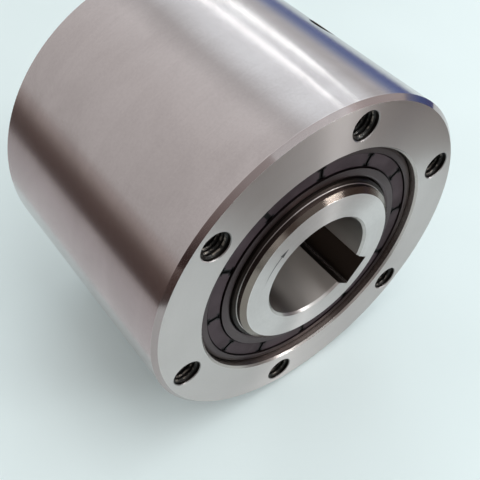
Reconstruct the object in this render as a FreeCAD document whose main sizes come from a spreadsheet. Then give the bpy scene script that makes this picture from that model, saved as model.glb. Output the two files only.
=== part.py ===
import FreeCAD
import Part
import Sketcher
import math
import os
import re

# One-way clutch bearing: an outer ring and a keyed inner ring on two sealed ball
# bearings, with a row of tilting sprags between them. Millimetres and degrees.
# Frame of the part: the bore lies along Y, the front end faces -Y and Z is up.
# Every turned piece is drawn round its own Z axis, front end up, and then laid down.

SIZES = [
    # outer ring
    ("outer_diameter", 125.0),
    ("body_length", 96.0),
    ("end_chamfer", 1.5),
    ("seat_chamfer", 0.7),
    ("recess_depth", 2.5),
    ("bolt_inset", 8.5),
    ("bolt_count", 6),
    ("bolt_angle", 15.0),
    ("tap_drill", 8.5),
    ("thread_diameter", 10.0),
    ("thread_depth", 24.0),
    ("thread_mouth", 10.5),
    # oil port in the side of the outer ring and its screw plug
    ("port_angle", 50.0),
    ("port_drill", 8.5),
    ("port_mouth", 10.5),
    ("port_depth", 9.0),
    ("oil_way", 4.0),
    ("plug_length", 6.0),
    ("plug_sink", 1.6),
    ("plug_chamfer", 0.5),
    ("plug_socket", 5.0),
    ("plug_socket_depth", 3.5),
    # inner ring
    ("bore_diameter", 40.0),
    ("bore_chamfer", 0.8),
    ("hub_overhang", 1.2),
    ("nose_diameter", 62.5),
    ("nose_chamfer", 1.25),
    ("nose_chamfer_width", 1.85),
    ("seat_overhang", 0.7),
    ("seat_lead", 0.4),
    ("key_width", 12.0),
    ("key_floor", 24.7),
    ("key_angle", -40.6),
    # ball bearings, one in each end
    ("bearing_bore", 65.0),
    ("bearing_outer", 90.0),
    ("bearing_width", 13.0),
    ("bearing_corner", 1.5),
    ("land_height", 2.45),
    ("ball_diameter", 7.14),
    ("ball_count", 18),
    ("groove_ratio", 1.04),
    ("cage_inner", 74.6),
    ("cage_outer", 80.4),
    ("cage_seal_gap", 0.4),
    ("cage_mouth", 2.0),
    # seals of the ball bearings
    ("seal_outer", 83.8),
    ("seal_inner", 72.9),
    ("seal_sink", 0.4),
    ("seal_thickness", 1.3),
    ("seal_lip_drop", 0.3),
    ("seal_lip_width", 0.5),
    ("mark_count", 12),
    ("mark_angle", 28.3),
    ("mark_width", 0.9),
    ("mark_foot_width", 2.0),
    ("mark_foot_height", 0.6),
    ("mark_depth", 0.35),
    ("mark_inner", 73.8),
    ("mark_outer", 82.8),
    # sprag row
    ("inner_race", 70.0),
    ("race_gap", 8.33),
    ("sprag_count", 24),
    ("sprag_width", 6.0),
    ("sprag_cam", 3.9),
    ("sprag_offset", 0.35),
    ("sprag_waist", 5.0),
    ("sleeve_thickness", 2.5),
    ("sleeve_offset", 0.3),
    ("window_side_play", 0.4),
    ("window_end_play", 0.3),
    ("cage_end_ring", 7.5),
    ("cage_end_bar", 9.9),
    ("spring_wire_coil", 2.2),
    ("spring_inset", 3.0),
    ("spring_groove_width", 3.0),
    ("spring_groove_floor", 40.15),
    # clearances
    ("seat_play", 0.01),
    ("ball_play", 0.02),
    ("pocket_play", 0.12),
    ("seal_play", 0.02),
    ("plug_play", 0.02),
    ("sprag_play", 0.03),
    ("cage_guide_play", 0.2),
    ("cage_end_play", 0.3),
    ("spring_play", 0.5),
]
SIZE = dict(SIZES)
NAMES = re.compile(r"\b(" + "|".join(SIZE) + r")\b")

PARTS_FOLDER = "parts"
FRONT, REAR = 1, -1
SIDE_NAME = {FRONT: "front", REAR: "rear"}

doc = FreeCAD.newDocument("OneWayClutchBearing")
subparts = []


# Driving dimensions
def make_sheet():
    sheet = doc.addObject("Spreadsheet::Sheet", "Sizes")
    for row, (alias, value) in enumerate(SIZES, start=1):
        sheet.set(f"A{row}", alias)
        sheet.set(f"B{row}", str(value))
        sheet.setAlias(f"B{row}", alias)
    doc.recompute()
    return sheet


def bound(text):
    """The same expression with each size read from the sheet."""
    return NAMES.sub(r"Sizes.\1", text)


def bind(item, **expressions):
    """Tie properties of an object to sizes. A double underscore stands for a dot."""
    for name, text in expressions.items():
        item.setExpression(name.replace("__", "."), bound(text))


# Expressions that several pieces share
HALF_LENGTH = "(body_length / 2)"
SHOULDER = "(body_length / 2 - recess_depth - bearing_width)"
BEARING_PLACE = "(body_length / 2 - recess_depth - bearing_width / 2)"
BALL_PITCH = "((bearing_bore + bearing_outer) / 4)"
OUTER_RACE = "(inner_race / 2 + race_gap)"
SPRAG_CENTRE = "(inner_race / 2 + race_gap / 2)"
SPRAG_TOP = "(race_gap / 2 - sprag_play)"
CAGE_END = f"({SHOULDER} - cage_end_play)"
WINDOW_END = f"({CAGE_END} - cage_end_bar)"
SPRAG_END = f"({WINDOW_END} - window_end_play)"
SPRING_PLACE = f"({SPRAG_END} - spring_inset)"
SEAL_FACE = "(bearing_width / 2 - seal_sink)"
SEAL_BACK = "(bearing_width / 2 - seal_sink - seal_thickness)"


# Sketches and features
def origin_plane(body, role):
    for feature in body.Origin.OriginFeatures:
        if feature.Role == role:
            return feature
    raise RuntimeError("no origin feature " + role)


def new_sketch(body, name, role, height=None):
    """A sketch on one origin plane, or lifted from it by an expression."""
    sketch = body.newObject("Sketcher::SketchObject", name)
    sketch.AttachmentSupport = (origin_plane(body, role), [""])
    sketch.MapMode = "FlatFace"
    if height:
        bind(sketch, AttachmentOffset__Base__z=height)
    return sketch


def fix_value(sketch, kind, element, position, start, text):
    """One constraint of a sketch, from its present value to an expression."""
    points = (-1, 1, element, position) if position else (element,)
    index = sketch.addConstraint(Sketcher.Constraint(kind, *points, start))
    sketch.setExpression(f"Constraints[{index}]", bound(text))


def pin_point(sketch, element, position, across, up):
    """Fix one point of a sketch at two expressions measured from its origin."""
    point = sketch.getPoint(element, position)
    fix_value(sketch, "DistanceX", element, position, point.x, across)
    fix_value(sketch, "DistanceY", element, position, point.y, up)


def outline(sketch, corners):
    """Closed outline of straight lines through corners given as expressions."""
    count = len(corners)
    turn = 2 * math.pi / count
    for i in range(count):
        ends = [
            FreeCAD.Vector(10 * math.cos(k * turn), 10 * math.sin(k * turn), 0)
            for k in (i, i + 1)
        ]
        sketch.addGeometry(Part.LineSegment(ends[0], ends[1]), False)
    for i in range(count):
        sketch.addConstraint(Sketcher.Constraint("Coincident", i, 2, (i + 1) % count, 1))
    for i, (across, up) in enumerate(corners):
        pin_point(sketch, i, 1, across, up)


def round_outline(sketch, radius, across, up):
    """Circle with its radius and centre given as expressions."""
    geometry = Part.Circle(FreeCAD.Vector(1, 1, 0), FreeCAD.Vector(0, 0, 1), 1)
    element = sketch.addGeometry(geometry, False)
    pin_point(sketch, element, 3, across, up)
    fix_value(sketch, "Radius", element, None, 1.0, radius)


def turning_line(sketch, across):
    """Upright construction line, for a profile that is turned round it."""
    segment = Part.LineSegment(FreeCAD.Vector(5, -5, 0), FreeCAD.Vector(5, 5, 0))
    element = sketch.addGeometry(segment, True)
    pin_point(sketch, element, 1, across, "-1")
    pin_point(sketch, element, 2, across, "1")


def turned(body, sketch, kind="PartDesign::Revolution", axis="V_Axis"):
    feature = body.newObject(kind, sketch.Name + "Turned")
    feature.Profile = sketch
    feature.ReferenceAxis = (sketch, [axis])
    feature.Angle = 360
    return feature


def pocket(body, sketch, depth=None, symmetric=False):
    feature = body.newObject("PartDesign::Pocket", sketch.Name + "Cut")
    feature.Profile = sketch
    if depth:
        feature.Type = "Length"
        bind(feature, Length=depth)
    else:
        feature.Type = "ThroughAll"
    if symmetric:
        feature.SideType = "Symmetric"
    return feature


def repeated(body, originals, count, name):
    """Copies of features evenly round the Z axis."""
    pattern = body.newObject("PartDesign::PolarPattern", name)
    pattern.Originals = originals
    pattern.Axis = (origin_plane(body, "Z_Axis"), [""])
    pattern.Angle = 360
    bind(pattern, Occurrences=count)
    body.Tip = pattern


def rounded_ends(body, radius, height, corner):
    """Fillet on the two round edges of a radius, one at each end of a ring."""
    doc.recompute()
    base = body.Tip
    names = []
    for number, edge in enumerate(base.Shape.Edges, start=1):
        curve = edge.Curve
        on_radius = isinstance(curve, Part.Circle) and math.isclose(curve.Radius, radius)
        if on_radius and math.isclose(abs(curve.Center.z), height):
            names.append(f"Edge{number}")
    fillet = body.newObject("PartDesign::Fillet", body.Name + "Corner")
    fillet.Base = (base, names)
    bind(fillet, Radius=corner)


def new_body(name):
    body = doc.addObject("PartDesign::Body", name)
    body.Label = name
    return body


def lay_down(item, roll="0", side=FRONT, place="0"):
    """Put a sub-part on the bore axis, rolled by an angle seen from the front."""
    base = f"vector(0; {-side} * {place}; 0)"
    turn = f"rotation(vector(0; -1; 0); {roll}) * rotation(vector(1; 0; 0); {90 * side})"
    bind(item, Placement=f"placement({base}; {turn})")
    subparts.append(item)


def both_ends(corners):
    """Corners of the front half of a profile, followed by their mirror images."""
    return corners + [(across, f"-({up})") for across, up in reversed(corners)]


# Outer ring
def bolt_hole(body):
    """Drilled right through, tapped from both ends and countersunk there.

    The tapped lengths are cut to the outside diameter of the thread.
    """
    centre = "(outer_diameter / 2 - bolt_inset)"
    sketch = new_sketch(body, "BoltHole", "XZ_Plane")
    bind(sketch, AttachmentOffset="placement(vector(0; 0; 0);"
                                  " rotation(vector(0; 1; 0); bolt_angle - port_angle))")
    outline(sketch, both_ends([
        (centre, HALF_LENGTH),
        (f"{centre} + thread_mouth / 2", HALF_LENGTH),
        (f"{centre} + thread_diameter / 2", f"{HALF_LENGTH} - (thread_mouth - thread_diameter) / 2"),
        (f"{centre} + thread_diameter / 2", f"{HALF_LENGTH} - thread_depth"),
        (f"{centre} + tap_drill / 2", f"{HALF_LENGTH} - thread_depth - (thread_diameter - tap_drill) / 2"),
    ])[::-1])
    turning_line(sketch, centre)
    return turned(body, sketch, "PartDesign::Groove", "Axis0")


def make_outer_ring():
    body = new_body("outer_ring")
    section = new_sketch(body, "OuterSection", "XZ_Plane")
    outline(section, both_ends([
        (OUTER_RACE, SHOULDER),
        ("bearing_outer / 2", SHOULDER),
        ("bearing_outer / 2", f"{HALF_LENGTH} - seat_chamfer"),
        ("bearing_outer / 2 + seat_chamfer", HALF_LENGTH),
        ("outer_diameter / 2 - end_chamfer", HALF_LENGTH),
        ("outer_diameter / 2", f"{HALF_LENGTH} - end_chamfer"),
    ]))
    turned(body, section)
    repeated(body, [bolt_hole(body)], "bolt_count", "BoltCircle")
    port = new_sketch(body, "OilPort", "XZ_Plane")
    surface = "outer_diameter / 2"
    outline(port, [
        (f"{surface} + port_mouth", "0"),
        (f"{surface} + port_mouth", "port_mouth / 2"),
        (surface, "port_mouth / 2"),
        (f"{surface} - (port_mouth - port_drill) / 2", "port_drill / 2"),
        (f"{surface} - port_depth", "port_drill / 2"),
        (f"{surface} - port_depth - (port_drill - oil_way) / 2", "oil_way / 2"),
        ("inner_race / 2", "oil_way / 2"),
        ("inner_race / 2", "0"),
    ])
    turned(body, port, "PartDesign::Groove", "H_Axis")
    lay_down(body, "port_angle")


def make_port_plug():
    """Socket screw that closes the oil port, sunk below the round surface."""
    body = new_body("port_plug")
    section = new_sketch(body, "PlugSection", "XZ_Plane")
    radius = "(port_drill / 2 - plug_play)"
    outline(section, [
        ("0", "0"),
        (f"{radius} - plug_chamfer", "0"),
        (radius, "plug_chamfer"),
        (radius, "plug_length - plug_chamfer"),
        (f"{radius} - plug_chamfer", "plug_length"),
        ("0", "plug_length"),
    ])
    turned(body, section)
    socket = new_sketch(body, "PlugSocket", "XY_Plane", "plug_length")
    corner = "plug_socket / 2 / cos(30)"
    outline(socket, [(f"{corner} * cos({60 * k})", f"{corner} * sin({60 * k})") for k in range(6)])
    pocket(body, socket, "plug_socket_depth")
    seat = "(outer_diameter / 2 - plug_sink - plug_length)"
    base = f"vector({seat} * cos(port_angle); 0; {seat} * sin(port_angle))"
    turn = "rotation(vector(0; 1; 0); 90 - port_angle)"
    bind(body, Placement=f"placement({base}; {turn})")
    subparts.append(body)


# Inner ring
def make_inner_ring():
    body = new_body("inner_ring")
    end = "(body_length / 2 + hub_overhang)"
    seat_end = "(body_length / 2 - recess_depth + seat_overhang)"
    section = new_sketch(body, "InnerSection", "XZ_Plane")
    outline(section, both_ends([
        ("inner_race / 2", SHOULDER),
        ("bearing_bore / 2", SHOULDER),
        ("bearing_bore / 2", f"{seat_end} - seat_lead"),
        ("bearing_bore / 2 - seat_lead", seat_end),
        ("nose_diameter / 2", seat_end),
        ("nose_diameter / 2", f"{end} - nose_chamfer"),
        ("nose_diameter / 2 - nose_chamfer_width", end),
        ("bore_diameter / 2 + bore_chamfer", end),
        ("bore_diameter / 2", f"{end} - bore_chamfer"),
    ]))
    turned(body, section)
    keyway = new_sketch(body, "Keyway", "XY_Plane", end)
    outline(keyway, [
        ("0", "-key_width / 2"),
        ("key_floor", "-key_width / 2"),
        ("key_floor", "key_width / 2"),
        ("0", "key_width / 2"),
    ])
    pocket(body, keyway)
    lay_down(body, "key_angle")


# Ball bearings
def make_bearing_ring(side, which):
    """Outer or inner ring of a ball bearing, with the ball groove in its land."""
    body = new_body(f"{SIDE_NAME[side]}_bearing_{which}_ring")
    section = new_sketch(body, body.Name + "Section", "XZ_Plane")
    half_width = "bearing_width / 2"
    away = 1 if which == "outer" else -1
    land = f"({BALL_PITCH} + {away} * land_height)"
    if which == "outer":
        fit = "(bearing_outer / 2 - seat_play)"
        seal_seat = "(seal_outer / 2 + seal_play)"
        corners = [(land, SEAL_BACK), (seal_seat, SEAL_BACK), (seal_seat, half_width), (fit, half_width)]
        fit_radius = SIZE["bearing_outer"] / 2 - SIZE["seat_play"]
    else:
        fit = "(bearing_bore / 2 + seat_play)"
        corners = [(land, half_width), (fit, half_width)]
        fit_radius = SIZE["bearing_bore"] / 2 + SIZE["seat_play"]
    outline(section, both_ends(corners))
    turned(body, section)
    groove = new_sketch(body, body.Name + "Groove", "XZ_Plane")
    radius = "(ball_diameter / 2 * groove_ratio)"
    centre = f"{BALL_PITCH} + {away} * (ball_diameter / 2 + ball_play - {radius})"
    round_outline(groove, radius, centre, "0")
    turned(body, groove, "PartDesign::Groove")
    rounded_ends(body, fit_radius, SIZE["bearing_width"] / 2, "bearing_corner")
    lay_down(body, "0", side, BEARING_PLACE)


def make_balls(side):
    """All balls of one bearing, as a group of separate solids."""
    balls = []
    for index in range(SIZE["ball_count"]):
        ball = doc.addObject("Part::Sphere", f"{SIDE_NAME[side].title()}Ball{index + 1}")
        angle = f"({index} * 360 / ball_count)"
        base = f"vector({BALL_PITCH} * cos({angle}); {BALL_PITCH} * sin({angle}); 0)"
        bind(ball, Radius="ball_diameter / 2", Placement=f"placement({base}; rotation(vector(0; 0; 1); 0))")
        balls.append(ball)
    group = doc.addObject("Part::Compound", f"{SIDE_NAME[side]}_bearing_balls")
    group.Links = balls
    lay_down(group, "0", side, BEARING_PLACE)


def make_ball_cage(side):
    """Snap cage: a ring with a round pocket for each ball, open on one end."""
    body = new_body(f"{SIDE_NAME[side]}_ball_cage")
    section = new_sketch(body, body.Name + "Section", "XZ_Plane")
    outline(section, [
        ("cage_inner / 2", f"cage_seal_gap - {SEAL_BACK}"),
        ("cage_outer / 2", f"cage_seal_gap - {SEAL_BACK}"),
        ("cage_outer / 2", "cage_mouth"),
        ("cage_inner / 2", "cage_mouth"),
    ])
    turned(body, section)
    pocket_ball = body.newObject("PartDesign::SubtractiveSphere", body.Name + "Pocket")
    pocket_ball.AttachmentSupport = (origin_plane(body, "XY_Plane"), [""])
    pocket_ball.MapMode = "FlatFace"
    bind(pocket_ball, Radius="ball_diameter / 2 + pocket_play", AttachmentOffset__Base__x=BALL_PITCH)
    repeated(body, [pocket_ball], "ball_count", body.Name + "Pockets")
    lay_down(body, "0", side, BEARING_PLACE)


def make_seal(side, facing, name):
    """Seal pressed into the outer ring. Its lip runs on the land of the inner ring."""
    body = new_body(f"{SIDE_NAME[side]}_{name}_seal")
    section = new_sketch(body, body.Name + "Section", "XZ_Plane")
    outline(section, [
        ("seal_inner / 2", SEAL_BACK),
        ("seal_outer / 2", SEAL_BACK),
        ("seal_outer / 2", f"{SEAL_FACE} - seal_lip_drop"),
        ("seal_outer / 2 - seal_lip_width", SEAL_FACE),
        ("seal_inner / 2 + seal_lip_width", SEAL_FACE),
        ("seal_inner / 2", f"{SEAL_FACE} - seal_lip_drop"),
    ])
    turned(body, section)
    if name == "outside":
        mark_seal(body)
    lay_down(body, "mark_angle", side * facing, f"{facing} * {BEARING_PLACE}")


def mark_seal(body):
    """Moulded radial marks, each a narrow slot with a wider foot at both ends."""
    sketch = new_sketch(body, body.Name + "Mark", "XY_Plane", SEAL_FACE)
    inner, outer = "mark_inner / 2", "mark_outer / 2"
    slot, foot = "mark_width / 2", "mark_foot_width / 2"
    half = [
        (inner, foot),
        (f"{inner} + mark_foot_height", foot),
        (f"{inner} + mark_foot_height", slot),
        (f"{outer} - mark_foot_height", slot),
        (f"{outer} - mark_foot_height", foot),
        (outer, foot),
    ]
    outline(sketch, both_ends(half))
    mark = pocket(body, sketch, "mark_depth")
    repeated(body, [mark], "mark_count", body.Name + "Marks")


def make_bearing(side):
    make_bearing_ring(side, "outer")
    make_bearing_ring(side, "inner")
    make_balls(side)
    make_ball_cage(side)
    make_seal(side, 1, "outside")
    make_seal(side, -1, "inside")


# Sprag row
def draw_sprag(sketch):
    """Two cam arcs set off sideways by equal amounts, joined by two hollow flanks."""
    cam, waist = SIZE["sprag_cam"], SIZE["sprag_waist"]
    side, half = SIZE["sprag_offset"], SIZE["sprag_width"] / 2
    centre = SIZE["race_gap"] / 2 - SIZE["sprag_play"] - cam
    left, right = [
        FreeCAD.Vector(centre + math.sqrt(cam ** 2 - (y - side) ** 2), y, 0) for y in (-half, half)
    ]
    crown = FreeCAD.Vector(centre + cam, side, 0)
    chord = (right + left).Length / 2
    hollow = (right - left) / 2 - FreeCAD.Vector(0, waist - math.sqrt(waist ** 2 - chord ** 2), 0)
    arcs = [(left, crown, right), (-left, hollow, right), (-left, -crown, -right), (left, -hollow, -right)]
    for points in arcs:
        sketch.addGeometry(Part.Arc(*points), False)
    for element in range(4):
        shared = 2 - element % 2
        joint = Sketcher.Constraint("Coincident", element, shared, (element + 1) % 4, shared)
        sketch.addConstraint(joint)
    for element, sign in ((0, 1), (2, -1)):
        pin_point(sketch, element, 3, f"{sign} * ({SPRAG_TOP} - sprag_cam)", f"{sign} * sprag_offset")
        fix_value(sketch, "Radius", element, None, cam, "sprag_cam")
        fix_value(sketch, "DistanceY", element, 1, -sign * half, f"{-sign} * sprag_width / 2")
        fix_value(sketch, "DistanceY", element, 2, sign * half, f"{sign} * sprag_width / 2")
        fix_value(sketch, "Radius", element + 1, None, waist, "sprag_waist")


def make_sprag(index):
    """One sprag. It wedges between the races or lets go as it tilts on its own axis."""
    body = new_body(f"sprag_{index + 1:02d}")
    sketch = new_sketch(body, body.Name + "Profile", "XY_Plane", f"-{SPRAG_END}")
    draw_sprag(sketch)
    pad = body.newObject("PartDesign::Pad", body.Name + "Pad")
    pad.Profile = sketch
    bind(pad, Length=f"2 * {SPRAG_END}")
    floor = f"spring_groove_floor - {SPRAG_CENTRE}"
    for side in (FRONT, REAR):
        notch = new_sketch(body, f"{body.Name}{SIDE_NAME[side].title()}Notch", "XZ_Plane")
        low = f"{side} * {SPRING_PLACE} - spring_groove_width / 2"
        high = f"{side} * {SPRING_PLACE} + spring_groove_width / 2"
        outline(notch, [(floor, low), ("race_gap", low), ("race_gap", high), (floor, high)])
        pocket(body, notch, symmetric=True)
    angle = f"({index} + 0.5) * 360 / sprag_count"
    base = f"vector({SPRAG_CENTRE} * cos({angle}); 0; {SPRAG_CENTRE} * sin({angle}))"
    turn = f"rotation(vector(0; -1; 0); {angle}) * rotation(vector(1; 0; 0); 90)"
    bind(body, Placement=f"placement({base}; {turn})")
    subparts.append(body)


def make_sprag_cage():
    """Sleeve with a window for each sprag. Its end rings run in the outer race."""
    body = new_body("sprag_cage")
    middle = f"({SPRAG_CENTRE} - sleeve_offset)"
    sleeve_in = f"({middle} - sleeve_thickness / 2)"
    sleeve_out = f"({middle} + sleeve_thickness / 2)"
    guide = f"({OUTER_RACE} - cage_guide_play)"
    section = new_sketch(body, "CageSection", "XZ_Plane")
    outline(section, both_ends([
        (sleeve_out, f"{CAGE_END} - cage_end_ring"),
        (guide, f"{CAGE_END} - cage_end_ring"),
        (guide, CAGE_END),
        (sleeve_in, CAGE_END),
    ]))
    turned(body, section)
    window = new_sketch(body, "CageWindow", "YZ_Plane", OUTER_RACE)
    across = "(sprag_width / 2 + window_side_play)"
    outline(window, both_ends([(f"-{across}", WINDOW_END), (across, WINDOW_END)]))
    cut = pocket(body, window, "race_gap")
    repeated(body, [cut], "sprag_count", "CageWindows")
    lay_down(body, "180 / sprag_count")


def make_garter_spring(side):
    """Garter spring in the notches of the sprags, as a plain ring of its outer size."""
    spring = doc.addObject("Part::Torus", f"{SIDE_NAME[side]}_garter_spring")
    wire = "spring_wire_coil / 2"
    bind(spring, Radius1=f"spring_groove_floor + spring_play + {wire}", Radius2=wire)
    lay_down(spring, "0", side, SPRING_PLACE)


# Checks and export
def export_subparts():
    os.makedirs(PARTS_FOLDER, exist_ok=True)
    doc.recompute()
    for item in doc.Objects:
        if {"Invalid", "Error"} & set(item.State):
            raise RuntimeError(f"{item.Name} failed: {item.State}")
    for item in subparts:
        shape = item.Shape
        if shape.isNull() or not shape.isValid() or not shape.Solids:
            raise RuntimeError(f"{item.Label} has no valid shape")
    for item in subparts:
        item.Shape.exportStep(os.path.join(PARTS_FOLDER, item.Label + ".step"))
        print(item.Label, len(item.Shape.Solids), round(item.Shape.Volume, 1))


make_sheet()
make_outer_ring()
make_port_plug()
make_inner_ring()
for bearing_side in (FRONT, REAR):
    make_bearing(bearing_side)
make_sprag_cage()
for spring_side in (FRONT, REAR):
    make_garter_spring(spring_side)
for sprag_index in range(SIZE["sprag_count"]):
    make_sprag(sprag_index)
export_subparts()
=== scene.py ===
import math

import bpy
from mathutils import Matrix, Vector


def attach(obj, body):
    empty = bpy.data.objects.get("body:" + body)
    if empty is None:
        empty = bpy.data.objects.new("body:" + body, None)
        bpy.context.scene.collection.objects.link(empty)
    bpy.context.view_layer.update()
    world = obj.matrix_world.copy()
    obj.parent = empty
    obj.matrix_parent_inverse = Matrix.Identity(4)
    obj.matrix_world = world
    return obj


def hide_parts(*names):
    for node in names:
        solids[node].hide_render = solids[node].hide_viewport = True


# One-way clutch bearing lying on its side on a pale sheet. Metres, in the frame of the
# solids: the bore lies along Y, its front end faces -Y and Z is up. Sizes in millimetres
# are used inside the shader groups and are turned into metres by MM elsewhere.

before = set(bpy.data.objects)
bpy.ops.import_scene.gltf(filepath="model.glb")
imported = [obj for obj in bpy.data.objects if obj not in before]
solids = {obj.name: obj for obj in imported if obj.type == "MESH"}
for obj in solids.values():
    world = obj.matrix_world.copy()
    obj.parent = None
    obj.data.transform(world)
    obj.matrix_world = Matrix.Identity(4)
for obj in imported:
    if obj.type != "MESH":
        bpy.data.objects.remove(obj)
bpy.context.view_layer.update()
MM = 0.001

# Camera
# It looks down on the front end from the left, as the photograph does. Its place and its three axes were
# found from the rims of the end face.
camera_data = bpy.data.cameras.new("Camera")
camera_data.sensor_width = 36.0
camera_data.lens = 53.60
camera = bpy.data.objects.new("Camera", camera_data)
camera_right = Vector((0.79879, -0.60135, -0.01799))
camera_up = Vector((0.47155, 0.60724, 0.63945))
camera_back = camera_right.cross(camera_up)
camera.matrix_world = Matrix.Translation((-0.10304, -0.14900, 0.18503)) @ Matrix(
    (camera_right, camera_up, camera_back)
).transposed().to_4x4()
bpy.context.collection.objects.link(camera)
bpy.context.scene.camera = camera
bpy.context.scene.view_settings.view_transform = "Standard"

# Sheet
# The object lies on a pale cloth sheet that fills the picture. It is wide enough to
# carry the whole shadow and to fill what the polished steel reflects.
SHEET_LEVEL = -62.5 * MM
SHEET_HALF = 1.6


def wired(tree, kind, inputs=None, **settings):
    """A node with its settings. Each input is given a plain value or another socket."""
    node = tree.nodes.new(kind)
    for name, value in settings.items():
        setattr(node, name, value)
    for key, value in (inputs or {}).items():
        if isinstance(value, bpy.types.NodeSocket):
            tree.links.new(value, node.inputs[key])
        else:
            node.inputs[key].default_value = value
    return node


def feed(tree, shader, **sources):
    """Link sockets to the inputs of a shader, named with underscores for spaces."""
    for name, source in sources.items():
        tree.links.new(source, shader.inputs[name.replace("_", " ")])


def ramped(tree, value, stops):
    """Colour that a value picks from (place, colour) stops, given in rising order."""
    node = wired(tree, "ShaderNodeValToRGB", {"Fac": value})
    for place, colour in stops[2:]:
        node.color_ramp.elements.new(place)
    for stop, (place, colour) in zip(node.color_ramp.elements, stops):
        stop.position = place
        stop.color = (*colour, 1.0)
    return node.outputs["Color"]


def bumped(tree, height, strength, distance):
    """Normal that a height bends. The distance is in metres."""
    node = wired(tree, "ShaderNodeBump", {"Height": height, "Strength": strength, "Distance": distance})
    return node.outputs["Normal"]


def new_finish(name, colour, metallic, roughness, **shader_values):
    """A material whose plain values are set on the shader's own sockets."""
    finish = bpy.data.materials.new(name)
    finish.use_nodes = True
    shader = finish.node_tree.nodes["Principled BSDF"]
    shader.inputs["Base Color"].default_value = (*colour, 1.0)
    shader.inputs["Metallic"].default_value = metallic
    shader.inputs["Roughness"].default_value = roughness
    for socket, value in shader_values.items():
        shader.inputs[socket.replace("_", " ")].default_value = value
    return finish, finish.node_tree, shader


def new_piece(name, mesh, finish, body=None):
    """An object at the origin with one material, riding on a body of the solids."""
    piece = bpy.data.objects.new(name, mesh)
    bpy.context.collection.objects.link(piece)
    mesh.materials.clear()
    mesh.materials.append(finish)
    if body:
        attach(piece, body)
    return piece


sheet_finish, tree, shader = new_finish("pale_sheet", (0.80, 0.90, 0.92), 0.0, 0.85)
place = wired(tree, "ShaderNodeTexCoord").outputs["Object"]
folds = wired(tree, "ShaderNodeTexNoise", {"Vector": place, "Scale": 5.0, "Detail": 3.0, "Roughness": 0.5})
folds = folds.outputs["Fac"]
# The same noise bumps the cloth and tints it, so the hollows of the folds are painted a little darker:
# painted shade in the folds.
tone = ramped(tree, folds, [(0.35, (0.75, 0.855, 0.86)), (0.65, (0.81, 0.92, 0.925))])
feed(tree, shader, Base_Color=tone, Normal=bumped(tree, folds, 0.4, 0.01))

sheet_mesh = bpy.data.meshes.new("sheet")
sheet_mesh.from_pydata(
    [(x * SHEET_HALF, y * SHEET_HALF, SHEET_LEVEL) for x, y in ((-1, -1), (1, -1), (1, 1), (-1, 1))],
    [],
    [(0, 1, 2, 3)],
)
new_piece("sheet", sheet_mesh, sheet_finish)

# Studio light
# Two narrow lamps behind the object on the right draw the two bright streaks along its
# side. A pale room, a soft lamp overhead and one in front give the rest of the light.
# The panels stand in the reflections alone, where they make the light and dark bands.
ROOM_AXIS = (0.62, 0.58, 0.52)
ROOM_STOPS = [
    (0.25, (0.42, 0.41, 0.405)), (0.52, (0.635, 0.625, 0.62)), (0.80, (0.74, 0.73, 0.725)),
    (0.91, (0.83, 0.83, 0.83)), (0.955, (0.64, 0.65, 0.655)), (0.987, (1.12, 1.22, 1.27)),
]
world = bpy.data.worlds.new("pale_room")
bpy.context.scene.world = world
world.use_nodes = True
room = world.node_tree
heading = wired(room, "ShaderNodeTexCoord").outputs["Generated"]
sideways = wired(room, "ShaderNodeVectorMath", {0: heading, 1: ROOM_AXIS}, operation="DOT_PRODUCT")
sideways = wired(room, "ShaderNodeMapRange", {"Value": sideways.outputs["Value"], "From Min": -1.0})
backdrop = room.nodes["Background"]
feed(room, backdrop, Color=ramped(room, sideways.outputs["Result"], ROOM_STOPS))
backdrop.inputs["Strength"].default_value = 1.0


def add_lamp(name, centre, across, along, power, colour):
    """Rectangular area light that faces the object. Sizes in metres, power in watts."""
    lamp = bpy.data.lights.new(name, "AREA")
    lamp.shape = "RECTANGLE"
    lamp.size = across
    lamp.size_y = along
    lamp.energy = power
    lamp.color = colour
    holder = bpy.data.objects.new(name, lamp)
    back = Vector(centre).normalized()
    side = Vector((0, 1, 0)).cross(back).normalized()
    turned = Matrix((side, back.cross(side), back)).transposed().to_4x4()
    holder.matrix_world = Matrix.Translation(centre) @ turned
    holder.visible_camera = False
    bpy.context.collection.objects.link(holder)


add_lamp("low_window", (0.83, 1.25, 0.395), 0.026, 1.2, 0.68, (0.95, 1.0, 1.0))
add_lamp("high_window", (0.765, 1.257, 0.62), 0.026, 1.2, 0.55, (0.95, 0.99, 1.0))
add_lamp("overhead_box", (0.35, -0.45, 1.20), 0.9, 0.9, 5.5, (0.97, 0.99, 1.0))
add_lamp("front_window", (0.80, -0.99, 0.30), 0.22, 0.35, 5.0, (0.97, 1.0, 1.0))

PANEL_FOOT = -0.0615
PANEL_STOPS = (0.0, 0.3, 0.6, 1.0)


def add_panel(name, low_edge, high_edge, colours):
    """Panel that only reflections see, shaded from its low edge to its high edge."""
    finish = bpy.data.materials.new(name)
    finish.use_nodes = True
    tree = finish.node_tree
    tree.nodes.clear()
    place = wired(tree, "ShaderNodeTexCoord").outputs["Object"]
    split = wired(tree, "ShaderNodeSeparateXYZ", {0: place}).outputs
    low, high = low_edge[0][2], high_edge[0][2]
    rise = wired(tree, "ShaderNodeMapRange", {"Value": split["Z"], "From Min": low, "From Max": high})
    shade = ramped(tree, rise.outputs["Result"], list(zip(PANEL_STOPS, colours)))
    glow = wired(tree, "ShaderNodeEmission", {"Color": shade, "Strength": 1.0})
    wired(tree, "ShaderNodeOutputMaterial", {"Surface": glow.outputs["Emission"]})
    mesh = bpy.data.meshes.new(name)
    mesh.from_pydata([*low_edge, *reversed(high_edge)], [], [(0, 1, 2, 3)])
    panel = new_piece(name, mesh, finish)
    panel.visible_camera = False
    panel.visible_diffuse = False
    panel.visible_shadow = False


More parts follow.
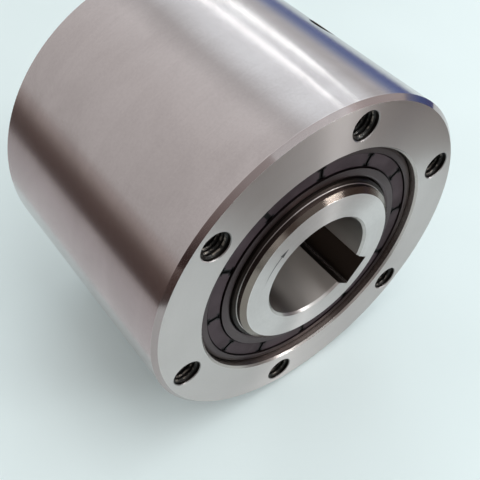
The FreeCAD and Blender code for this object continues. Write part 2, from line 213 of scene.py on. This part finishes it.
add_panel(
    "left_wall", [(-0.235, -0.5, PANEL_FOOT), (-0.235, 1.4, PANEL_FOOT)],
    [(-0.62, -0.5, 0.12), (-0.62, 1.4, 0.12)],
    [(0.07, 0.045, 0.04), (0.14, 0.105, 0.095), (0.42, 0.37, 0.35), (0.52, 0.49, 0.49)])
add_panel(
    "left_floor", [(-0.085, -0.05, PANEL_FOOT), (-0.085, 0.5, PANEL_FOOT)],
    [(-0.235, -0.05, -0.0605), (-0.235, 0.5, -0.0605)],
    [(0.60, 0.60, 0.61), (0.55, 0.54, 0.55), (0.52, 0.50, 0.51), (0.45, 0.42, 0.42)])
add_panel(
    "right_wall", [(0.36, -0.2, PANEL_FOOT), (0.36, 1.6, PANEL_FOOT)],
    [(0.70, -0.2, 0.10), (0.70, 1.6, 0.10)],
    [(0.10, 0.11, 0.28), (0.13, 0.19, 0.44), (0.27, 0.33, 0.52), (0.60, 0.64, 0.70)])
add_panel(
    "front_floor", [(0.0, -0.14, PANEL_FOOT), (0.17, -0.08, PANEL_FOOT)],
    [(-0.05, -0.62, -0.055), (0.95, -0.40, -0.055)],
    [(0.18, 0.145, 0.13), (0.12, 0.09, 0.08), (0.12, 0.09, 0.08), (0.12, 0.09, 0.08)])
add_panel(
    "front_wall", [(-0.05, -0.62, PANEL_FOOT), (1.30, -0.40, PANEL_FOOT)],
    [(-0.05, -0.62, 0.20), (1.30, -0.40, 0.06)],
    [(0.12, 0.09, 0.08), (0.12, 0.09, 0.08), (0.14, 0.11, 0.10), (0.20, 0.18, 0.17)])
add_panel(
    "left_front_wall", [(-1.10, -0.30, PANEL_FOOT), (-0.15, -0.36, PANEL_FOOT)],
    [(-1.10, -0.62, 0.40), (-0.15, -0.62, 0.40)],
    [(0.06, 0.038, 0.035), (0.07, 0.048, 0.045), (0.26, 0.22, 0.21), (0.46, 0.42, 0.41)])
add_panel(
    "gap_card", [(-0.15, -0.62, -0.05), (-0.06, -0.64, -0.05)],
    [(-0.15, -0.66, 0.28), (-0.06, -0.68, 0.28)],
    [(0.95, 1.0, 1.0), (1.0, 1.05, 1.05), (0.9, 0.95, 0.95), (0.7, 0.72, 0.72)])
add_panel(
    "front_card", [(0.04, -0.90, 0.34), (0.85, -0.75, 0.34)],
    [(0.04, -0.90, 0.75), (0.85, -0.75, 0.75)],
    [(1.1, 1.25, 1.28), (1.15, 1.3, 1.33), (1.15, 1.3, 1.33), (0.9, 1.0, 1.02)])

# Outer ring
# A hardened steel ring, turned on its ends and ground on the round side. Each finish
# leaves fine rings round the bore, which shows as a sheen that fans out on the ends.
RING_RADIUS = 62.5
RING_END = 48.0
FACE_RADIUS = 61.0
SIDE_END = 46.5
SEAT_MOUTH = 45.7
SCREW_CIRCLE = 54.0
SCREW_FIRST = 15.0
SCREW_STEP = 60.0
SCREW_MOUTH = 5.25
PORT_ANGLE = 50.0
PORT_MOUTH = 5.2


def new_group(name, sizes, results):
    """A shader group with named sockets. Sizes are (name, start value)."""
    group = bpy.data.node_groups.new(name, "ShaderNodeTree")
    for label, value in sizes:
        socket = group.interface.new_socket(label, in_out="INPUT", socket_type="NodeSocketFloat")
        socket.default_value = value
    for label in results:
        group.interface.new_socket(label, in_out="OUTPUT", socket_type="NodeSocketFloat")
    return group, wired(group, "NodeGroupInput").outputs, wired(group, "NodeGroupOutput").inputs


def grouped(tree, group, **sizes):
    """Outputs of a shader group. Its sizes are named with underscores for spaces."""
    inputs = {name.replace("_", " "): value for name, value in sizes.items()}
    return wired(tree, "ShaderNodeGroup", inputs, node_tree=group).outputs


def reckon(tree, operation, *values):
    """Result of a Math node on plain values or sockets."""
    return wired(tree, "ShaderNodeMath", dict(enumerate(values)), operation=operation).outputs[0]


def times(tree, *values):
    """Product of plain values or sockets."""
    product = values[0]
    for value in values[1:]:
        product = reckon(tree, "MULTIPLY", product, value)
    return product


def minus(tree, value, other):
    """Difference of two plain values or sockets."""
    return reckon(tree, "SUBTRACT", value, other)


def size_of(tree, value):
    """A value without its sign."""
    return reckon(tree, "ABSOLUTE", value)


def reach_of(tree, across, up):
    """Length of the long side over two short sides at a right angle."""
    squares = reckon(tree, "ADD", times(tree, across, across), times(tree, up, up))
    return reckon(tree, "SQRT", squares)


def eased(tree, value, low, high, to_low=0.0, to_high=1.0):
    """A value carried smoothly from one range to another and held at its ends."""
    ranges = {"Value": value, "From Min": low, "From Max": high, "To Min": to_low, "To Max": to_high}
    return wired(tree, "ShaderNodeMapRange", ranges, interpolation_type="SMOOTHSTEP").outputs["Result"]


def blended(tree, factor, dark, light):
    """Colour between two colours. The first may be a socket."""
    start = dark if isinstance(dark, bpy.types.NodeSocket) else (*dark, 1.0)
    mix = wired(tree, "ShaderNodeMix", {"Factor": factor, "A": start, "B": (*light, 1.0)}, data_type="RGBA")
    return mix.outputs["Result"]


# Where a point lies on a turned piece, in millimetres, and how much it faces along Y.
turned_place, given, gives = new_group("turned_place", [], ["Radius", "Along", "Angle", "End Face"])
position = wired(turned_place, "ShaderNodeTexCoord").outputs
split = wired(turned_place, "ShaderNodeSeparateXYZ", {0: position["Object"]}).outputs
facing = wired(turned_place, "ShaderNodeSeparateXYZ", {0: position["Normal"]}).outputs
radius = times(turned_place, reach_of(turned_place, split["X"], split["Z"]), 1000.0)
turned_place.links.new(radius, gives["Radius"])
turned_place.links.new(times(turned_place, split["Y"], 1000.0), gives["Along"])
angle = reckon(turned_place, "ARCTAN2", split["Z"], split["X"])
turned_place.links.new(reckon(turned_place, "DEGREES", angle), gives["Angle"])
end_face = eased(turned_place, size_of(turned_place, facing["Y"]), 0.5, 0.85)
turned_place.links.new(end_face, gives["End Face"])

# Fine rings left by the tool or the wheel: their height, and a slow change of tone.
tool_rings, given, gives = new_group("tool_rings", [("Pitch", 0.3), ("Break Up", 0.3)], ["Height", "Tone"])
where = grouped(tool_rings, turned_place)
across = wired(tool_rings, "ShaderNodeMix", {
    "Factor": where["End Face"], "A": where["Along"], "B": where["Radius"]})
steps = reckon(tool_rings, "DIVIDE", across.outputs["Result"], given["Pitch"])
position = wired(tool_rings, "ShaderNodeTexCoord").outputs["Object"]
drift = wired(tool_rings, "ShaderNodeTexNoise", {"Vector": position, "Scale": 45.0, "Detail": 2.0})
steps = reckon(tool_rings, "MULTIPLY_ADD", drift.outputs["Fac"], given["Break Up"], steps)
rings = wired(tool_rings, "ShaderNodeTexNoise", {
    "W": steps, "Scale": 1.0, "Detail": 3.0, "Roughness": 0.6}, noise_dimensions="1D").outputs["Fac"]
wide = wired(tool_rings, "ShaderNodeTexNoise", {
    "W": times(tool_rings, steps, 0.12), "Scale": 1.0, "Detail": 2.0}, noise_dimensions="1D").outputs["Fac"]
tool_rings.links.new(rings, gives["Height"])
slow = reckon(tool_rings, "MULTIPLY_ADD", wide, 0.5, times(tool_rings, rings, 0.5))
tool_rings.links.new(slow, gives["Tone"])

# Faint cloudy marks of oil and hands, and a fine speckle.
handling, given, gives = new_group(
    "handling", [("Cloud Size", 30.0), ("Speckle Size", 0.8)], ["Cloud", "Speckle"])
position = wired(handling, "ShaderNodeTexCoord").outputs["Object"]
cloud = wired(handling, "ShaderNodeTexNoise", {
    "Vector": position, "Detail": 4.0, "Distortion": 0.6,
    "Scale": reckon(handling, "DIVIDE", 1000.0, given["Cloud Size"])})
speckle = wired(handling, "ShaderNodeTexNoise", {
    "Vector": position, "Detail": 1.0, "Scale": reckon(handling, "DIVIDE", 1000.0, given["Speckle Size"])})
handling.links.new(eased(handling, cloud.outputs["Fac"], 0.3, 0.7), gives["Cloud"])
handling.links.new(eased(handling, speckle.outputs["Fac"], 0.35, 0.65), gives["Speckle"])

# A worn band round a turned edge, from the radius and the distance from the middle.
worn_rim, given, gives = new_group(
    "worn_rim", [("Radius", RING_RADIUS), ("Along", SIDE_END), ("Width", 0.3)], ["Wear"])
where = grouped(worn_rim, turned_place)
out = minus(worn_rim, where["Radius"], given["Radius"])
back = minus(worn_rim, size_of(worn_rim, where["Along"]), given["Along"])
gap = reach_of(worn_rim, out, back)
position = wired(worn_rim, "ShaderNodeTexCoord").outputs["Object"]
nicks = wired(worn_rim, "ShaderNodeTexNoise", {"Vector": position, "Scale": 220.0, "Detail": 3.0})
limit = times(worn_rim, given["Width"], eased(worn_rim, nicks.outputs["Fac"], 0.3, 0.75, 0.3, 1.6))
worn_rim.links.new(eased(worn_rim, reckon(worn_rim, "DIVIDE", gap, limit), 1.0, 0.4), gives["Wear"])

# How far a point is from the middle of the nearest screw hole, in millimetres.
screw_hole, given, gives = new_group(
    "screw_hole", [("Circle", SCREW_CIRCLE), ("First", SCREW_FIRST)], ["Gap"])
where = grouped(screw_hole, turned_place)
turn = reckon(screw_hole, "ADD", minus(screw_hole, where["Angle"], given["First"]), SCREW_STEP / 2)
turn = minus(screw_hole, reckon(screw_hole, "FLOORED_MODULO", turn, SCREW_STEP), SCREW_STEP / 2)
turn = reckon(screw_hole, "RADIANS", turn)
out = times(screw_hole, where["Radius"], reckon(screw_hole, "COSINE", turn))
out = minus(screw_hole, out, given["Circle"])
aside = times(screw_hole, where["Radius"], reckon(screw_hole, "SINE", turn))
screw_hole.links.new(reach_of(screw_hole, out, aside), gives["Gap"])


def turned_steel(
    name, dark, light, roughness, pitch, depth, sheen, rims=(), end_roughness=None, zones=None
):
    """Steel with tool rings round the bore: tone between two colours, bump and fanned sheen.

    Rims gives (radius, distance from the middle, width) of each worn edge. Zones is a
    function that gives (mask, colour, roughness, how far sunk) for parts of the surface.
    """
    finish, tree, shader = new_finish(
        name, light, 1.0, roughness, Anisotropic=sheen, Anisotropic_Rotation=0.25)
    rings = grouped(tree, tool_rings, Pitch=pitch)
    marks = grouped(tree, handling)
    tone = times(tree, reckon(tree, "ADD", marks["Cloud"], rings["Tone"]), 0.5)
    tone = reckon(tree, "MULTIPLY_ADD", marks["Speckle"], 0.12, tone)
    for rim_radius, rim_along, width in rims:
        rim = grouped(tree, worn_rim, Radius=rim_radius, Along=rim_along, Width=width)
        tone = reckon(tree, "MULTIPLY_ADD", rim["Wear"], 0.8, tone)
    colour = blended(tree, tone, dark, light)
    place = grouped(tree, turned_place)
    coarse = eased(tree, place["End Face"], 0.0, 1.0, roughness, end_roughness or roughness)
    dull = times(tree, eased(tree, tone, 0.0, 1.0, 1.12, 0.9), coarse)
    height = times(tree, rings["Height"], depth)
    for mask, zone_colour, zone_roughness, sunk in (zones(tree, place) if zones else ()):
        colour = blended(tree, mask, colour, zone_colour)
        dull = wired(tree, "ShaderNodeMix", {"Factor": mask, "A": dull, "B": zone_roughness})
        dull = dull.outputs["Result"]
        height = reckon(tree, "MULTIPLY_ADD", mask, -sunk, height)
    around = wired(tree, "ShaderNodeTangent", direction_type="RADIAL", axis="Y").outputs["Tangent"]
    relief = bumped(tree, height, 1.0, MM)
    feed(tree, shader, Base_Color=colour, Roughness=dull, Tangent=around, Normal=relief)
    return finish


def dress(finish, *names):
    """Give carried-over solids their material."""
    for name in names:
        for holder in solids[name].material_slots:
            holder.material = finish


def drilled_zones(tree, place):
    """Bright end faces, chamfers painted darker brown as dark reflection, bearing seats painted darker as
    shade in the recess, and hole walls painted near black as shade.
    """
    depth = size_of(tree, place["Along"])
    faced = times(tree, place["End Face"], 0.6)
    painted_dark_chamfer = times(
        tree, eased(tree, place["Radius"], FACE_RADIUS - 0.05, FACE_RADIUS + 0.05),
        eased(tree, depth, SIDE_END - 0.05, SIDE_END + 0.05))
    painted_shade_seat = times(
        tree, eased(tree, place["Radius"], SEAT_MOUTH + 0.05, SEAT_MOUTH - 0.1),
        eased(tree, place["End Face"], 1.0, 0.3))
    gap = grouped(tree, screw_hole)["Gap"]
    hole = times(
        tree, eased(tree, gap, SCREW_MOUTH + 0.1, SCREW_MOUTH - 0.1),
        eased(tree, place["End Face"], 1.0, 0.2))
    swing = reckon(tree, "RADIANS", minus(tree, place["Angle"], PORT_ANGLE))
    aside = times(tree, place["Radius"], reckon(tree, "SINE", swing))
    gap = reach_of(tree, place["Along"], aside)
    port = times(
        tree, eased(tree, gap, PORT_MOUTH + 0.1, PORT_MOUTH - 0.1),
        eased(tree, place["Radius"], RING_RADIUS - 0.01, RING_RADIUS - 0.06))
    return [
        (faced, (0.68, 0.628, 0.612), 0.35, 0.0),
        # The chamfers are painted a darker brown: painted dark reflection, not a colour of the steel.
        (painted_dark_chamfer, (0.40, 0.335, 0.33), 0.13, 0.0),
        # The bearing seats are painted a darker brown: painted shade in the recess.
        (painted_shade_seat, (0.42, 0.36, 0.325), 0.24, 0.0),
        # The walls of the screw holes and the oil port are painted near black: painted shade inside the
        # holes.
        (reckon(tree, "MAXIMUM", hole, port), (0.02, 0.017, 0.015), 0.5, 0.0),
    ]


ring_finish = turned_steel(
    "ground_ring_steel", (0.455, 0.41, 0.405), (0.58, 0.53, 0.525), 0.16, 0.5, 0.006, 0.9,
    rims=[(RING_RADIUS, SIDE_END, 0.35), (FACE_RADIUS, RING_END, 0.3), (SEAT_MOUTH, RING_END, 0.3)],
    end_roughness=0.37, zones=drilled_zones)
dress(ring_finish, "outer_ring")

# Screw threads
# Coarse right-hand threads, cut into the six holes of both ends with a tap. Only the first turns catch the
# light; their crests are lighter in random patches that stand in for ragged glints, and the rest is painted
# near black as shade.
THREAD_PITCH = 1.5
THREAD_CORE = 8.5
THREAD_OUTSIDE = 10.0
THREAD_DEEP_END = 24.8
THREAD_LENGTH = 22.0
SHARP_FOLD = 0.5


def new_tree(name, sizes):
    """A geometry tree with named size inputs that puts out one mesh."""
    tree = bpy.data.node_groups.new(name, "GeometryNodeTree")
    for label, value in sizes:
        socket = tree.interface.new_socket(label, in_out="INPUT", socket_type="NodeSocketFloat")
        socket.default_value = value
    tree.interface.new_socket("Geometry", in_out="OUTPUT", socket_type="NodeSocketGeometry")
    return tree, wired(tree, "NodeGroupInput").outputs, wired(tree, "NodeGroupOutput").inputs


def vector(tree, **parts):
    """A vector with the parts that are given, and zero for the others."""
    return wired(tree, "ShaderNodeCombineXYZ", parts).outputs["Vector"]


def moved(tree, geometry, **how):
    """Geometry after a move or a turn."""
    return wired(tree, "GeometryNodeTransform", {"Geometry": geometry, **how}).outputs["Geometry"]


def grown(name, tree, **sizes):
    """The plain mesh that a geometry tree gives for some sizes."""
    seed = bpy.data.objects.new(name, bpy.data.meshes.new(name))
    bpy.context.collection.objects.link(seed)
    modifier = seed.modifiers.new(name, "NODES")
    modifier.node_group = tree
    for item in tree.interface.items_tree:
        if item.in_out == "INPUT" and item.name in sizes:
            modifier[item.identifier] = float(sizes[item.name])
    shown = seed.evaluated_get(bpy.context.evaluated_depsgraph_get())
    mesh = bpy.data.meshes.new_from_object(shown)
    bpy.data.objects.remove(seed)
    mesh.name = name
    return mesh


thread_finish, tree, shader = new_finish("tapped_thread_steel", (0.30, 0.27, 0.25), 0.4, 0.4)
marks = grouped(tree, handling, Cloud_Size=1.6, Speckle_Size=0.5)
gap = grouped(tree, screw_hole)["Gap"]
# Painted shade and glints: the thread is near black away from the crests, and random patches of the crests
# are lighter as painted highlight.
painted_glint_crest = times(tree, eased(tree, gap, 4.80, 4.40), eased(tree, marks["Cloud"], 0.45, 0.9, 0.04, 1.0))
feed(
    tree, shader,
    Base_Color=blended(tree, painted_glint_crest, (0.006, 0.005, 0.004), (0.20, 0.17, 0.145)),
    Roughness=eased(tree, marks["Speckle"], 0.0, 1.0, 0.3, 0.6),
    Normal=bumped(tree, marks["Cloud"], 0.5, 0.1 * MM))

# A tapered ridge that points at the axis of the hole is swept along a helix, and the
# thread is then set into each hole of the screw circle and turned to its end.
threads, given, gives = new_tree("screw_threads", [
    ("Outside", THREAD_OUTSIDE * MM), ("Core", THREAD_CORE * MM), ("Pitch", THREAD_PITCH * MM),
    ("Deep End", THREAD_DEEP_END * MM), ("Length", THREAD_LENGTH * MM), ("Circle", SCREW_CIRCLE * MM),
    ("First", SCREW_FIRST), ("Turned", 90.0)])
root = reckon(threads, "MULTIPLY_ADD", given["Outside"], 0.5, 0.03 * MM)
helix = wired(threads, "GeometryNodeCurveSpiral", {
    "Resolution": 32, "Rotations": reckon(threads, "DIVIDE", given["Length"], given["Pitch"]),
    "Start Radius": root, "End Radius": root, "Height": given["Length"]})
helix = wired(threads, "GeometryNodeSetCurveNormal", {"Curve": helix.outputs["Curve"]}, mode="Z_UP")
rise = minus(threads, root, times(threads, given["Core"], 0.5))
ridge = wired(threads, "GeometryNodeCurvePrimitiveQuadrilateral", {
    "Bottom Width": times(threads, given["Pitch"], 0.94), "Top Width": times(threads, given["Pitch"], 0.14),
    "Height": rise, "Offset": 0.0}, mode="TRAPEZOID")
ridge = moved(threads, ridge.outputs["Curve"], Translation=vector(threads, Y=times(threads, rise, 0.5)))
ridge = moved(threads, ridge, Rotation=(0, 0, -math.pi / 2))
thread = wired(threads, "GeometryNodeCurveToMesh", {
    "Curve": helix.outputs["Curve"], "Profile Curve": ridge, "Fill Caps": True})
spots = wired(threads, "GeometryNodeMeshCircle", {"Vertices": 6, "Radius": given["Circle"]})
spots = moved(
    threads, spots.outputs["Mesh"], Translation=vector(threads, Z=given["Deep End"]),
    Rotation=vector(threads, Z=reckon(threads, "RADIANS", given["First"])))
placed = wired(threads, "GeometryNodeInstanceOnPoints", {"Points": spots, "Instance": thread.outputs["Mesh"]})
laid = moved(
    threads, placed.outputs["Instances"],
    Rotation=vector(threads, X=reckon(threads, "RADIANS", given["Turned"])))
made = wired(threads, "GeometryNodeRealizeInstances", {"Geometry": laid})
made = wired(threads, "GeometryNodeSetShadeSmooth", {"Geometry": made.outputs["Geometry"]})
fold = wired(threads, "GeometryNodeInputMeshEdgeAngle").outputs["Unsigned Angle"]
made = wired(threads, "GeometryNodeSetShadeSmooth", {
    "Geometry": made.outputs["Geometry"], "Selection": reckon(threads, "GREATER_THAN", fold, SHARP_FOLD),
    "Shade Smooth": False}, domain="EDGE")
made = wired(threads, "GeometryNodeSetMaterial", {
    "Geometry": made.outputs["Geometry"], "Material": thread_finish})
threads.links.new(made.outputs["Geometry"], gives["Geometry"])
for side, first, turned in (("front", SCREW_FIRST, 90.0), ("rear", -SCREW_FIRST, -90.0)):
    mesh = grown(f"{side}_screw_threads", threads, First=first, Turned=turned)
    new_piece(f"{side}_screw_threads", mesh, thread_finish, "outer_body")

# Inner ring
# A hardened steel sleeve, bored, broached for a key and faced bright on both noses. A
# fine arrow, cut into the front face, shows the way in which the ring turns freely.
HUB_END = 49.2
NOSE_FACE = 29.4
NOSE_START = 46.5
COLLAR_RADIUS = 31.4
INSIDE_LIMIT = 25.3
BORE_RADIUS = 20.0
KEY_HALF = 6.0
KEY_ANGLE = -40.6
ARROW_RADIUS = 24.0
ARROW_TIP = 123.7
ARROW_TAIL = 162.0
ARROW_SPAN = ARROW_TAIL - ARROW_TIP


def hub_zones(tree, place):
    """Nose chamfers painted dark brown as dark reflection, the bore painted darker grey partly as shade,
    keyway and collar under the bearing painted near black as shade, and the arrow.
    """
    depth = size_of(tree, place["Along"])
    nose = times(
        tree, eased(tree, place["Radius"], NOSE_FACE, NOSE_FACE + 0.1),
        eased(tree, depth, NOSE_START - 0.1, NOSE_START + 0.1))
    inside = times(
        tree, eased(tree, place["Radius"], INSIDE_LIMIT + 0.1, INSIDE_LIMIT - 0.1),
        eased(tree, place["End Face"], 0.9, 0.4))
    swing = reckon(tree, "RADIANS", minus(tree, place["Angle"], KEY_ANGLE))
    aside = size_of(tree, times(tree, place["Radius"], reckon(tree, "SINE", swing)))
    key = times(
        tree, inside, eased(tree, aside, KEY_HALF + 0.25, KEY_HALF + 0.1),
        eased(tree, reckon(tree, "COSINE", swing), 0.0, 0.3),
        eased(tree, place["Radius"], BORE_RADIUS, BORE_RADIUS + 0.15))
    collar = times(
        tree, eased(tree, place["Radius"], COLLAR_RADIUS - 0.1, COLLAR_RADIUS + 0.1),
        eased(tree, depth, NOSE_START + 0.1, NOSE_START - 0.1))
    far = minus(tree, place["Angle"], ARROW_TIP)
    off = size_of(tree, minus(tree, place["Radius"], ARROW_RADIUS))
    stroke = times(
        tree, eased(tree, off, 0.3, 0.16), eased(tree, far, 0.0, 2.0),
        eased(tree, far, ARROW_SPAN, ARROW_SPAN - 20.0, 0.0, 0.8))
    barb = minus(tree, times(tree, far, 0.11), off)
    barb = times(
        tree, eased(tree, barb, -0.05, 0.08), eased(tree, far, 8.5, 7.6), eased(tree, far, -0.5, 0.3))
    arrow = times(
        tree, reckon(tree, "MAXIMUM", stroke, barb),
        eased(tree, place["Along"], -HUB_END + 0.2, -HUB_END + 0.1))
    return [
        # The nose chamfers are painted dark brown: painted dark reflection.
        (nose, (0.23, 0.19, 0.165), 0.17, 0.0),
        # The bore is painted a darker grey than the faces, partly as the shade inside it.
        (inside, (0.47, 0.43, 0.405), 0.35, 0.0),
        # The keyway is painted near black: painted shade in the slot.
        (key, (0.05, 0.037, 0.03), 0.45, 0.0),
        # The collar under the bearing is painted near black: painted shade in the gap.
        (collar, (0.03, 0.023, 0.02), 0.4, 0.0),
        (arrow, (0.13, 0.12, 0.125), 0.45, 0.03),
    ]


hub_finish = turned_steel(
    "ground_hub_steel", (0.60, 0.56, 0.55), (0.72, 0.675, 0.665), 0.20, 0.18, 0.002, 0.9,
    rims=[(NOSE_FACE, HUB_END, 0.25)], end_roughness=0.34, zones=hub_zones)
dress(hub_finish, "inner_ring")

# Ball bearings
# Bought bearings, one pressed into each end: rings and balls of through-hardened steel, the rings ground and
# painted a very dark brown that stands in for the shade and dark reflections in the recess, and a moulded
# cage that snaps over the balls.
# Painted shade: the bearing rings are far darker than steel, for the shade and dark reflections in the
# recess.
race_finish = turned_steel(
    "bearing_steel_painted_dark", (0.050, 0.035, 0.038), (0.095, 0.070, 0.073), 0.34, 0.15, 0.0015, 0.3)
ball_finish = turned_steel(
    "polished_ball_steel", (0.60, 0.60, 0.61), (0.72, 0.72, 0.73), 0.06, 0.3, 0.0, 0.0)
cage_finish, tree, shader = new_finish("ball_cage_nylon", (0.05, 0.045, 0.04), 0.0, 0.5)
marks = grouped(tree, handling, Cloud_Size=8.0, Speckle_Size=0.4)
feed(
    tree, shader,
    Base_Color=blended(tree, marks["Cloud"], (0.035, 0.03, 0.026), (0.065, 0.058, 0.05)),
    Normal=bumped(tree, marks["Speckle"], 0.4, 0.02 * MM))
for side in ("front", "rear"):
    dress(race_finish, f"{side}_bearing_outer_ring", f"{side}_bearing_inner_ring")
    dress(ball_finish, f"{side}_bearing_balls")
    dress(cage_finish, f"{side}_ball_cage")

# Seals
# Washers of moulded rubber over a steel disc, two in each bearing. The outside ones have twelve sunk radial
# marks with feet. The sunk floors, and a band a little wider than each mark, are painted black as shade
# beside the dull purple-grey rubber.
SEAL_FACE = 45.1
SEAL_BACK = 44.3
MARK_ANGLE = 28.3
MARK_STEP = 30.0
MARK_MIDDLE = 39.15
seal_finish, tree, shader = new_finish(
    "moulded_seal_rubber", (0.06, 0.045, 0.053), 0.0, 0.5, Specular_IOR_Level=0.12)
place = grouped(tree, turned_place)
marks = grouped(tree, handling, Cloud_Size=14.0, Speckle_Size=0.35)
depth = size_of(tree, place["Along"])
outside = eased(tree, depth, SEAL_BACK, SEAL_BACK + 0.3)
floor = times(tree, eased(tree, depth, SEAL_FACE - 0.05, SEAL_FACE - 0.2), outside)
turn = minus(tree, place["Angle"], MARK_ANGLE - MARK_STEP / 2)
turn = minus(tree, reckon(tree, "FLOORED_MODULO", turn, MARK_STEP), MARK_STEP / 2)
turn = reckon(tree, "RADIANS", turn)
aside = size_of(tree, times(tree, place["Radius"], reckon(tree, "SINE", turn)))
ends = size_of(tree, minus(tree, place["Radius"], MARK_MIDDLE))
foot = times(tree, eased(tree, aside, 1.8, 1.6), eased(tree, ends, 1.2, 1.35))
bar = reckon(tree, "MAXIMUM", eased(tree, aside, 0.95, 0.75), foot)
# Painted shade: the sunk floors and a band a little wider than each cut mark are painted black.
sunk = reckon(tree, "MAXIMUM", floor, times(tree, bar, eased(tree, ends, 2.4, 2.3), outside))
skin = blended(tree, marks["Cloud"], (0.030, 0.019, 0.023), (0.053, 0.035, 0.042))
feed(
    tree, shader,
    Base_Color=blended(tree, sunk, skin, (0.002, 0.0015, 0.002)),
    Roughness=eased(tree, marks["Cloud"], 0.0, 1.0, 0.5, 0.4),
    Normal=bumped(tree, marks["Speckle"], 0.5, 0.01 * MM))
dress(seal_finish, *(f"{side}_{name}_seal" for side in ("front", "rear") for name in ("outside", "inside")))

# Sprag row
# Drawn and ground steel sprags with polished cams, in a sleeve turned and milled from
# steel tube. Two coiled wire springs lie in the notches and keep every sprag in touch.
SPRING_RING = 41.75
SPRING_PLACE = 19.0
COIL_DIAMETER = 2.2
WIRE_DIAMETER = 0.5
COIL_TURNS = 400.0
POINTS_A_TURN = 6.0
sprag_finish = turned_steel(
    "polished_sprag_steel", (0.50, 0.50, 0.52), (0.66, 0.66, 0.68), 0.16, 0.2, 0.001, 0.2)
sleeve_finish = turned_steel(
    "milled_sleeve_steel", (0.40, 0.38, 0.36), (0.55, 0.53, 0.50), 0.32, 0.4, 0.004, 0.4)
dress(sprag_finish, *(name for name in solids if name.startswith("sprag_") and name != "sprag_cage"))
dress(sleeve_finish, "sprag_cage")

wire_finish, tree, shader = new_finish("spring_wire_steel", (0.5, 0.48, 0.46), 1.0, 0.25)
marks = grouped(tree, handling, Cloud_Size=6.0, Speckle_Size=0.3)
feed(
    tree, shader,
    Base_Color=blended(tree, marks["Cloud"], (0.38, 0.35, 0.33), (0.58, 0.56, 0.54)),
    Roughness=eased(tree, marks["Speckle"], 0.0, 1.0, 0.2, 0.35))

# Each point of a ring is carried round the wire's centre line, six points to a turn.
springs, given, gives = new_tree("garter_spring", [
    ("Ring", SPRING_RING * MM), ("Coil", COIL_DIAMETER * MM), ("Wire", WIRE_DIAMETER * MM),
    ("Turns", COIL_TURNS), ("Points A Turn", POINTS_A_TURN), ("Place", SPRING_PLACE * MM)])
loop = wired(springs, "GeometryNodeCurvePrimitiveCircle", {
    "Resolution": times(springs, given["Turns"], given["Points A Turn"]), "Radius": given["Ring"]},
    mode="RADIUS")
step = wired(springs, "GeometryNodeInputIndex").outputs["Index"]
wind = times(springs, reckon(springs, "DIVIDE", step, given["Points A Turn"]), 2 * math.pi)
reach = times(springs, minus(springs, given["Coil"], given["Wire"]), 0.5)
centre = wired(springs, "GeometryNodeInputPosition").outputs["Position"]
outward = wired(springs, "ShaderNodeVectorMath", {0: centre}, operation="NORMALIZE").outputs["Vector"]
outward = wired(springs, "ShaderNodeVectorMath", {
    0: outward, "Scale": times(springs, reach, reckon(springs, "COSINE", wind))}, operation="SCALE")
lift = reckon(springs, "MULTIPLY_ADD", reach, reckon(springs, "SINE", wind), given["Place"])
shift = wired(springs, "ShaderNodeVectorMath", {
    0: outward.outputs["Vector"], 1: vector(springs, Z=lift)}, operation="ADD")
coiled = wired(springs, "GeometryNodeSetPosition", {
    "Geometry": loop.outputs["Curve"], "Offset": shift.outputs["Vector"]})
section = wired(springs, "GeometryNodeCurvePrimitiveCircle", {
    "Resolution": 4, "Radius": times(springs, given["Wire"], 0.5)}, mode="RADIUS")
coil = wired(springs, "GeometryNodeCurveToMesh", {
    "Curve": coiled.outputs["Geometry"], "Profile Curve": section.outputs["Curve"]})
laid = moved(springs, coil.outputs["Mesh"], Rotation=(math.pi / 2, 0, 0))
made = wired(springs, "GeometryNodeRealizeInstances", {"Geometry": laid})
made = wired(springs, "GeometryNodeSetMaterial", {
    "Geometry": made.outputs["Geometry"], "Material": wire_finish})
springs.links.new(made.outputs["Geometry"], gives["Geometry"])
for side, place in (("front", SPRING_PLACE), ("rear", -SPRING_PLACE)):
    mesh = grown(f"{side}_coiled_spring", springs, Place=place * MM)
    spring = new_piece(f"{side}_coiled_spring", mesh, wire_finish, "outer_body")
    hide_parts(f"{side}_garter_spring")

# Port plug
# A black socket screw that closes the oil port, sunk under the round side. Its oxide
# skin is thin, so the steel shines through in soft patches.
plug_finish, tree, shader = new_finish("black_plug_steel", (0.03, 0.03, 0.032), 1.0, 0.4)
marks = grouped(tree, handling, Cloud_Size=3.0, Speckle_Size=0.3)
feed(
    tree, shader,
    Base_Color=blended(tree, marks["Cloud"], (0.02, 0.02, 0.022), (0.07, 0.065, 0.065)),
    Roughness=eased(tree, marks["Speckle"], 0.0, 1.0, 0.3, 0.5))
dress(plug_finish, "port_plug")
